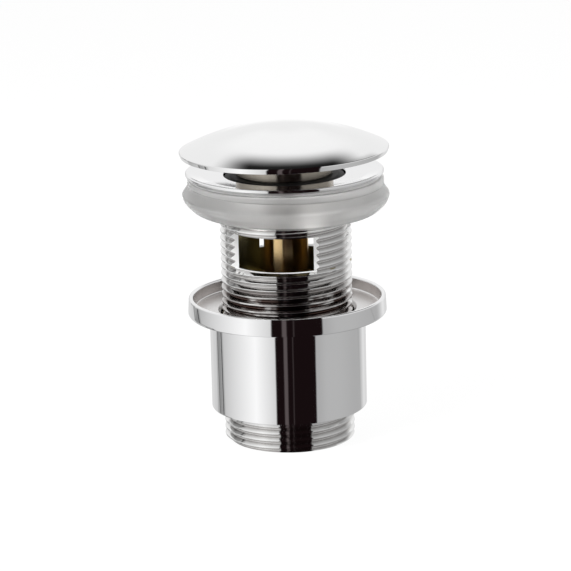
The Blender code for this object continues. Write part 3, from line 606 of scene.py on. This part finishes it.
def makeThread(bottom, top, leadIn, runOut, material):
    # a right-hand thread as a skewed grid whose rows follow the helix. Its ends are chamfered by leadIn and
    # runOut and close with a flat face on the root's circle.
    pitch, perPitch = pipeThread["pitch"], pipeThread["rowsPerPitch"]
    rows = (math.ceil((top - bottom) / pitch) + 2) * perPitch
    values = {
        "Segments": roundSegments + 1, "Rows": rows + 1, "Crest": pipeThread["crest"] * mm,
        "Depth": pipeThread["depth"] * mm, "Pitch": pitch * mm, "Bottom": bottom * mm, "Top": top * mm,
        "Lead In": leadIn * mm, "Run Out": runOut * mm, "Material": material,
    }
    tree, sheet, identifiers = newTree("threadTurns", values)
    entry = sheet.add("NodeGroupInput")
    take = {label: sheet.other(entry, label) for label in values}
    grid = sheet.add(
        "GeometryNodeMeshGrid", {},
        {"Size X": 1.0, "Size Y": 1.0, "Vertices X": take["Segments"], "Vertices Y": take["Rows"]},
    )
    across = sheet.add("ShaderNodeSeparateXYZ", {}, {0: sheet.add("GeometryNodeInputPosition")})
    share = across + 0.5
    row = (sheet.other(across, "Y") + 0.5) * (take["Rows"] - 1)
    height = take["Bottom"] + take["Pitch"] * (row / perPitch + share - 1)
    height = height.maths("MAXIMUM", take["Bottom"]).maths("MINIMUM", take["Top"])
    phase = (height - take["Bottom"]) / take["Pitch"] - share
    wave = abs(phase.maths("FRACT") * 2 - 1)
    rounding = 0.12  # of crest and root, as a share of the depth
    flank = (wave * 1.5 - 0.25).maths("SMOOTH_MIN", 1, rounding).maths("SMOOTH_MAX", 0, rounding)
    root = take["Crest"] - take["Depth"]
    radius = root + take["Depth"] * flank
    radius = radius.maths("MINIMUM", take["Crest"] - take["Lead In"] + (height - take["Bottom"]))
    radius = radius.maths("MINIMUM", take["Crest"] - take["Run Out"] + (take["Top"] - height))
    inside = row.maths("GREATER_THAN", 0.5) * row.maths("LESS_THAN", take["Rows"] - 1.5)
    radius = root + (radius - root).maths("MAXIMUM", 0) * inside
    angle = share * math.tau
    spot = sheet.add(
        "ShaderNodeCombineXYZ", {},
        {0: radius * angle.maths("COSINE"), 1: radius * angle.maths("SINE"), 2: height},
    )
    moved = sheet.add("GeometryNodeSetPosition", {}, {"Geometry": grid, "Position": spot})
    merged = sheet.add("GeometryNodeMergeByDistance", {}, {"Geometry": moved, "Distance": 0.000002})
    endTree(sheet, merged, take["Material"])
    return runTree(tree, identifiers, values)


# Waste body: flange, throat, threaded tube with two windows, and the web that holds the cartridge

wasteBody = {
    "bore": 18.3, "tubeBottom": 28.0, "threadTop": 78.6, "leadIn": 0.9, "runOut": 1.5,
    "flangeRoot": 82.4, "rimBottom": 85.4, "rimTop": 87.6, "rim": 31.5, "rimTaper": 1.0, "land": 1.0,
    "rimEdge": 0.35, "rimBand": 0.85, "hole": 19.4, "holeTop": 86.45, "holeEdge": 0.3, "dishMiddle": 26.5,
    "dishLevel": 86.8, "throatBottom": 79.95, "seatBottom": 78.95,
    "windowBottom": 58.4, "windowTop": 69.6, "windowCutter": 21.8, "windowOffset": 31.8,
    "webTop": 50.8, "webBottom": 45.8, "armWidth": 3.6, "hub": 9.6, "hubHole": 6.3,
}


def makeWasteBody():
    w = wasteBody
    root = pipeThread["crest"] - pipeThread["depth"]
    outline = [
        (root, w["threadTop"]),
        (pipeThread["crest"], w["threadTop"] + 0.4, 0.2),
        (pipeThread["crest"], w["flangeRoot"], 0.6),
        (w["rim"] - w["rimTaper"] - w["land"], w["rimBottom"]),
        (w["rim"] - w["rimTaper"], w["rimBottom"], 0.15),
        (w["rim"], w["rimTop"] - w["rimBand"], 0.15),
        (w["rim"], w["rimTop"] - w["rimEdge"], 0.2),
        (w["rim"] - w["rimEdge"], w["rimTop"], 0.3),
        (w["rim"] - w["land"], w["rimTop"], 0.8),
        (w["dishMiddle"], w["dishLevel"], 4.0),
        (w["hole"], w["holeTop"], w["holeEdge"]),
        (w["hole"], w["throatBottom"], 0.2),
        (w["bore"], w["seatBottom"], 0.2),
        (w["bore"], w["tubeBottom"], 0.2),
        (root, w["tubeBottom"]),
    ]
    thread = makeThread(w["tubeBottom"], w["threadTop"], w["leadIn"], w["runOut"], finishes["bodyChrome"])
    body = addPiece(
        "waste_body_visual", joined(turned(outline, closed=False), thread),
        ("bodyChrome", "boreBrass", "cutChrome", "threadChrome"),
    )
    paint(body, lambda across, up, normal: across > root - 0.1 and w["tubeBottom"] < up < w["threadTop"], 3)
    paint(body, lambda across, up, normal: across < w["bore"] + 0.02 and up < w["seatBottom"], 1)
    cutter, windowMiddle = w["windowCutter"] * mm, (w["windowBottom"] + w["windowTop"]) / 2
    for side in (-1, 1):  # a window is milled by a disc that lies flat
        bm = bmesh.new()
        bmesh.ops.create_cone(
            bm, cap_ends=True, segments=200, radius1=cutter, radius2=cutter,
            depth=(w["windowTop"] - w["windowBottom"]) * mm,
            matrix=Matrix.Translation((0, side * w["windowOffset"] * mm, windowMiddle * mm)),
        )
        cut(body, bm, "DIFFERENCE", 2)
    paint(body, lambda across, up, normal: across > w["bore"] and abs(up - w["windowBottom"]) < 0.02, 1)
    length = 2 * (w["bore"] + 0.5)  # the arms reach into the wall
    shape = Matrix.Diagonal((length * mm, w["armWidth"] * mm, (w["webTop"] - w["webBottom"]) * mm, 1))
    webMiddle = Matrix.Translation((0, 0, (w["webTop"] + w["webBottom"]) / 2 * mm))
    for turn in (math.pi / 4, -math.pi / 4):
        bm = bmesh.new()
        bmesh.ops.create_cube(bm, size=1, matrix=webMiddle @ Matrix.Rotation(turn, 4, "Z") @ shape)
        cut(body, bm, "UNION", 1)
    cut(body, turned(ringOutline(w["hub"], 0, w["webTop"], w["webBottom"], 0.4), smallSegments), "UNION", 1)
    hole = ringOutline(w["hubHole"], 0, w["webTop"] + 2, w["webBottom"] - 2)
    cut(body, turned(hole, smallSegments), "DIFFERENCE", 1)
    body.data.set_sharp_from_angle(angle=math.radians(sharpAngle))
    place(body, "waste_body", "body_chrome", "waste_body")


# Lower sleeve: cup, skirt and threaded tail

lowerSleeve = {
    "threadTop": 8.9, "reliefTop": 10.4, "bore": 18.3, "skirt": 25.0, "cupUnderside": 40.8, "cupFloor": 42.5,
    "cupRim": 46.75, "cup": 31.9, "cupTaper": 0.35, "cupWall": 1.5, "shoulder": 13.0, "threadBore": 21.355,
    "entry": 0.9, "leadIn": 0.45, "runOut": 0.9,
}


def makeLowerSleeve():
    s = lowerSleeve
    root = pipeThread["crest"] - pipeThread["depth"]
    inside = s["cup"] - s["cupTaper"] - s["cupWall"]
    lip = s["cupWall"] / 2
    outline = [
        (root, 0),
        (s["bore"], 0, 0.2),
        (s["bore"], s["shoulder"], 0.2),
        (s["threadBore"], s["shoulder"]),
        (s["threadBore"], s["cupFloor"] - s["entry"], 0.1),
        (s["threadBore"] + s["entry"], s["cupFloor"], 0.15),
        (inside, s["cupFloor"], 0.6),
        (inside, s["cupRim"], lip),
        (s["cup"] - s["cupTaper"], s["cupRim"], lip),
        (s["cup"], s["cupUnderside"], 1.0),
        (s["skirt"], s["cupUnderside"], 0.5),
        (s["skirt"], s["reliefTop"], 0.5),
        (root, s["reliefTop"], 0.15),
        (root, s["threadTop"]),
    ]
    thread = makeThread(0, s["threadTop"], s["leadIn"], s["runOut"], finishes["sleeveChrome"])
    sleeve = addPiece(
        "lower_sleeve_visual", joined(turned(outline, closed=False), thread),
        ("sleeveChrome", "boreBrass", "cupWall", "cupFloor", "threadChrome"),
    )
    paint(sleeve, lambda across, up, normal: across > root - 0.1 and 0.01 < up < s["threadTop"], 4)
    paint(
        sleeve,
        lambda across, up, normal: across < s["threadBore"] + 0.02 and 0.3 < up < s["cupFloor"] - s["entry"]
        and (across < s["bore"] + 0.02 or up > s["shoulder"] - 0.02), 1,
    )
    paint(sleeve, lambda across, up, normal: abs(across - inside) < 0.05 and up < s["cupRim"] - lip, 2)
    paint(
        sleeve,
        lambda across, up, normal: across < inside - 0.05 and normal.z > 0.6 and up > s["shoulder"] + 5, 3,
    )
    place(sleeve, "lower_sleeve", "sleeve_chrome", "lower_sleeve")


# Flange gasket

gasket = {
    "lip": 31.2, "top": 85.1, "neck": 83.3, "neckDepth": 0.3, "flare": 33.0, "flareLevel": 80.0,
    "belly": 32.3, "bellyLevel": 77.8, "hip": 29.4, "hipLevel": 75.0, "foot": 24.2, "bottom": 73.2,
    "inside": 21.255, "flangeInside": 29.5, "rootTop": 82.1, "slant": 0.85, "shift": 0.3,
}


def makeGasketPiece():
    g = gasket
    outline = [
        (g["lip"], g["top"], 0.6),
        (g["lip"], g["neck"], 0.2),
        (g["lip"] - g["neckDepth"], g["neck"] - g["neckDepth"], 0.2),
        (g["flare"], g["flareLevel"], 1.0),
        (g["belly"], g["bellyLevel"], 4.0),
        (g["hip"], g["hipLevel"], 4.0),
        (g["foot"], g["bottom"], 1.5),
        (g["inside"], g["bottom"], 0.4),
        (g["inside"], g["rootTop"]),
        (g["flangeInside"], g["top"]),
    ]
    bm = turned(outline)
    slant = math.tan(math.radians(g["slant"]))
    turn = math.radians(photo["azimuth"])
    right = Vector((math.cos(turn), math.sin(turn), 0))
    for vert in bm.verts:  # the soft bowl hangs a little askew; the lip stays flat under the flange
        free = min(1, (g["top"] * mm - vert.co.z) / ((g["top"] - g["neck"]) * mm))
        outside = min(1, (math.hypot(vert.co.x, vert.co.y) / mm - g["inside"]) / 4)
        vert.co.z -= slant * vert.co.dot(right) * free
        vert.co += right * g["shift"] * mm * outside
    piece = addPiece("flange_gasket_visual", bm, ("clearGasket",))
    place(piece, "waste_body", "clear_gasket", "flange_gasket")


# Cap: a shallow dome with a narrow tapered band

cap = {
    "edge": 33.4, "crease": 94.5, "rise": 8.0, "bottom": 93.0, "bandTaper": 0.6, "rounding": 0.45,
    "domeEnd": 1.2, "wall": 2.6, "rimWidth": 2.4, "boss": 9.0, "studHole": 3.4, "studTop": 98.3,
    "outsideSteps": 40, "insideSteps": 12, "segments": 192, "tilt": 0.75,
}


def makeCap():
    c = cap
    sphere = (c["edge"] ** 2 + c["rise"] ** 2) / (2 * c["rise"])

    def domeArc(start, end, drop, steps):
        base = c["crease"] + c["rise"] - sphere - drop
        spots = [start + (end - start) * step / steps for step in range(steps + 1)]
        return [(across, base + math.sqrt(sphere**2 - across**2)) for across in spots]

    foot = c["edge"] - c["bandTaper"]
    outline = [
        *domeArc(0, c["edge"] - c["domeEnd"], 0, c["outsideSteps"]),
        (c["edge"], c["crease"], c["rounding"]),
        (foot, c["bottom"], 0.15),
        (foot - c["rimWidth"], c["bottom"], 0.3),
        *domeArc(foot - c["rimWidth"], c["boss"], c["wall"], c["insideSteps"]),
        (c["boss"], c["bottom"], 0.3),
        (c["studHole"], c["bottom"]),
        (c["studHole"], c["studTop"]),
        (0, c["studTop"]),
    ]
    bm = turned(outline, c["segments"])
    towards = Matrix.Rotation(math.radians(photo["azimuth"]), 3, "Z") @ Vector((0, -1, 0))
    pivot = Vector((0, 0, c["bottom"] * mm))  # the raised cap sits a little askew on its plunger
    bmesh.ops.rotate(
        bm, verts=bm.verts, cent=pivot, matrix=Matrix.Rotation(math.radians(c["tilt"]), 3, towards)
    )
    piece = addPiece("cap_dome_visual", bm, ("capChrome",))
    place(piece, "cap", "cap_chrome", "cap_dome")


# Plug under the cap, with its seal

plug = {
    "radius": 15.3, "skirt": 17.3, "groove": 14.2, "top": 92.7, "bottom": 82.0, "wall": 2.1, "ceiling": 90.4,
    "hole": 3.4, "sealBottom": 84.6, "sealTop": 86.3, "sealRadius": 19.1, "lip": 0.5, "clearance": 0.3,
}


def makePlug():
    p = plug
    inside = p["radius"] - p["wall"]
    above, below = p["sealTop"] + p["clearance"], p["sealBottom"] - p["clearance"]
    outline = [
        (p["radius"], p["top"], 0.3),
        (p["radius"], above, 0.15),
        (p["groove"], above, 0.1),
        (p["groove"], below, 0.1),
        (p["skirt"], below, 0.4),
        (p["skirt"], p["bottom"], 0.4),
        (inside, p["bottom"], 0.3),
        (inside, p["ceiling"], 1.0),
        (p["hole"], p["ceiling"]),
        (p["hole"], p["top"]),
    ]
    piece = addPiece("plug_body_visual", turned(outline), ("paleBrass",))
    place(piece, "cap", "pale_brass", "plug_body")
    sealInside = p["groove"] + p["clearance"]
    outline = [
        (sealInside, p["sealTop"], 0.1),
        (p["skirt"], p["sealTop"], 0.6),
        (p["sealRadius"], p["sealTop"] - p["lip"], 0.35),
        (p["sealRadius"], p["sealBottom"] + p["lip"], 0.35),
        (p["skirt"], p["sealBottom"], 0.6),
        (sealInside, p["sealBottom"], 0.1),
    ]
    seal = addPiece("plug_seal_visual", turned(outline), ("blackRubber",))
    place(seal, "cap", "black_rubber", "plug_seal")


# Cartridge: housing, fixings and spring

cartridge = {
    "radius": 7.1, "top": 75.6, "collarBottom": 51.1, "collarTop": 53.8, "collarFlats": 16.0, "tail": 5.9,
    "bottom": 38.3, "drain": 1.5, "floor": 39.8, "springChamber": 4.6, "ledge": 58.0, "ringChamber": 6.0,
    "grooveDepth": 0.5, "clipBottom": 73.7, "clipTop": 74.5,
}


def hexPrism(name, flats, bottom, top, hole, chamfer=0.6):
    # a brass hexagon with a hole, its corners chamfered by a cone at both ends
    corner = flats / math.sqrt(3)
    bm = bmesh.new()
    bmesh.ops.create_cone(
        bm, cap_ends=True, segments=6, radius1=corner * mm, radius2=corner * mm, depth=(top - bottom) * mm,
        matrix=Matrix.Translation((0, 0, (top + bottom) / 2 * mm)),
    )
    prism = addPiece(name, bm, ("brass",))
    middle, half = (top + bottom) / 2, (top - bottom) * 0.1
    wide, narrow = corner + chamfer, flats / 2 - chamfer
    envelope = [
        (0, top + chamfer), (narrow, top + chamfer), (wide, middle + half), (wide, middle - half),
        (narrow, bottom - chamfer), (0, bottom - chamfer),
    ]
    cut(prism, turned(envelope, smallSegments), "INTERSECT")
    cut(prism, turned(ringOutline(hole, 0, top + 1, bottom - 1), smallSegments))
    return prism


def makeCartridge():
    c = cartridge
    outline = [
        (c["radius"], c["top"], 0.3),
        (c["radius"], c["collarBottom"]),
        (c["tail"], c["collarBottom"]),
        (c["tail"], c["bottom"] + 0.5, 0.1),
        (c["tail"] - 0.5, c["bottom"], 0.1),
        (c["drain"], c["bottom"]),
        (c["drain"], c["floor"]),
        (c["springChamber"], c["floor"]),
        (c["springChamber"], c["ledge"]),
        (c["ringChamber"], c["ledge"]),
        (c["ringChamber"], c["clipBottom"] - 0.3),
        (c["ringChamber"] + c["grooveDepth"], c["clipBottom"] - 0.3),
        (c["ringChamber"] + c["grooveDepth"], c["clipTop"] + 0.3),
        (c["ringChamber"], c["clipTop"] + 0.3),
        (c["ringChamber"], c["top"], 0.15),
    ]
    housing = addPiece("cartridge_housing_visual", turned(outline, smallSegments), ("brass",))
    midWall = (c["radius"] + c["ringChamber"]) / 2
    collar = hexPrism("collar", c["collarFlats"], c["collarBottom"], c["collarTop"], midWall)
    bm = bmesh.new()
    bm.from_mesh(collar.data)
    bpy.data.objects.remove(collar)
    cut(housing, bm, "UNION")
    housing.data.set_sharp_from_angle(angle=math.radians(sharpAngle))
    place(housing, "waste_body", "brass", "cartridge_housing")


fixings = {
    "washer": 9.0, "washerTop": 45.5, "washerBottom": 44.7, "nutTop": 44.4, "nutBottom": 41.4, "flats": 17.0,
    "hole": 6.3,
}


def makeFixings():
    f = fixings
    outline = ringOutline(f["washer"], f["hole"], f["washerTop"], f["washerBottom"], 0.15)
    washer = addPiece("housing_washer_visual", turned(outline, smallSegments), ("steel",))
    place(washer, "waste_body", "steel", "housing_washer")
    nut = hexPrism("housing_nut_visual", f["flats"], f["nutBottom"], f["nutTop"], f["hole"])
    nut.data.shade_smooth()
    nut.data.set_sharp_from_angle(angle=math.radians(sharpAngle))
    place(nut, "waste_body", "brass", "housing_nut")


spring = {
    "low": 40.1, "high": 56.4, "coil": 3.6, "wire": 0.45, "turns": 7.0, "perTurn": 40, "sides": 14,
    "closed": 0.12, "pressed": 4.3,
}


def makeSpring():
    # a wound wire whose end coils lie closed
    s = spring
    values = {
        "Low": (s["low"] + s["wire"]) * mm, "High": (s["high"] - s["wire"]) * mm, "Coil": s["coil"] * mm,
        "Wire": s["wire"] * mm, "Turns": s["turns"], "Per Turn": s["perTurn"], "Sides": s["sides"],
        "Material": finishes["steel"],
    }
    tree, sheet, identifiers = newTree("woundWire", values)
    entry = sheet.add("NodeGroupInput")
    take = {label: sheet.other(entry, label) for label in values}
    winding = sheet.add(
        "GeometryNodeCurveSpiral", {},
        {"Resolution": take["Per Turn"], "Rotations": take["Turns"], "Start Radius": take["Coil"],
         "End Radius": take["Coil"], "Height": 1.0},
    )
    x = sheet.add("ShaderNodeSeparateXYZ", {}, {0: sheet.add("GeometryNodeInputPosition")})
    along = sheet.other(x, "Z")
    endPitch = take["Wire"] * 2.05 * take["Turns"] / (take["High"] - take["Low"])
    closed = s["closed"]
    middlePitch = (1 - endPitch * 2 * closed) / (1 - 2 * closed)
    first = along.maths("MINIMUM", closed)
    last = (along - (1 - closed)).maths("MAXIMUM", 0)
    between = along.clamped(closed, 1 - closed) - closed
    rise = (first + last) * endPitch + between * middlePitch
    spot = sheet.add(
        "ShaderNodeCombineXYZ", {},
        {0: x, 1: sheet.other(x, "Y"), 2: take["Low"] + rise * (take["High"] - take["Low"])},
    )
    path = sheet.add("GeometryNodeSetPosition", {}, {"Geometry": winding, "Position": spot})
    section = sheet.add(
        "GeometryNodeCurvePrimitiveCircle", {}, {"Resolution": take["Sides"], "Radius": take["Wire"]}
    )
    wire = sheet.add(
        "GeometryNodeCurveToMesh", {}, {"Curve": path, "Profile Curve": section, "Fill Caps": True}
    )
    endTree(sheet, wire, take["Material"])
    mesh = runTree(tree, identifiers, values)
    bm = bmesh.new()
    bm.from_mesh(mesh)
    bpy.data.meshes.remove(mesh)
    piece = addPiece("return_spring_visual", bm, ("steel",), 50)
    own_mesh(piece)
    place(piece, "waste_body", "steel", "return_spring")


washerRing = {"outer": 20.955, "inner": 18.6, "bottom": 13.3, "top": 15.3, "fillet": 0.3}


def makeSleeveWasher():
    w = washerRing
    outline = ringOutline(w["outer"], w["inner"], w["top"], w["bottom"], w["fillet"], w["fillet"])
    piece = addPiece("sleeve_washer_visual", turned(outline), ("blackRubber",))
    place(piece, "lower_sleeve", "black_rubber", "sleeve_washer")


# CAD nodes that stay as they are, with their finish

keptNodes = {
    "ring_spacer": "whitePlastic", "guide_bush": "whitePlastic", "wiper_ring": "blackRubber",
    "bush_circlip": "steel", "track_ring": "steel", "track_ball_left": "steel", "track_ball_right": "steel",
    "plunger": "brass", "spring_seat": "steel", "plug_washer": "steel", "cap_nut": "brass",
}


def finishKeptNodes():
    for name, finish in keptNodes.items():
        for slot in nodes[name].material_slots:
            slot.link = "OBJECT"
            slot.material = finishes[finish]


bpy.context.scene.view_settings.view_transform = "Standard"
placeCamera()
buildWorld()
addFloor()
for name, settings in lamps.items():
    addLamp(name, *settings)
print("stage: camera, floor and light")
makeWasteBody()
makeLowerSleeve()
makeGasketPiece()
makeCap()
makePlug()
makeCartridge()
makeFixings()
makeSpring()
makeSleeveWasher()
finishKeptNodes()
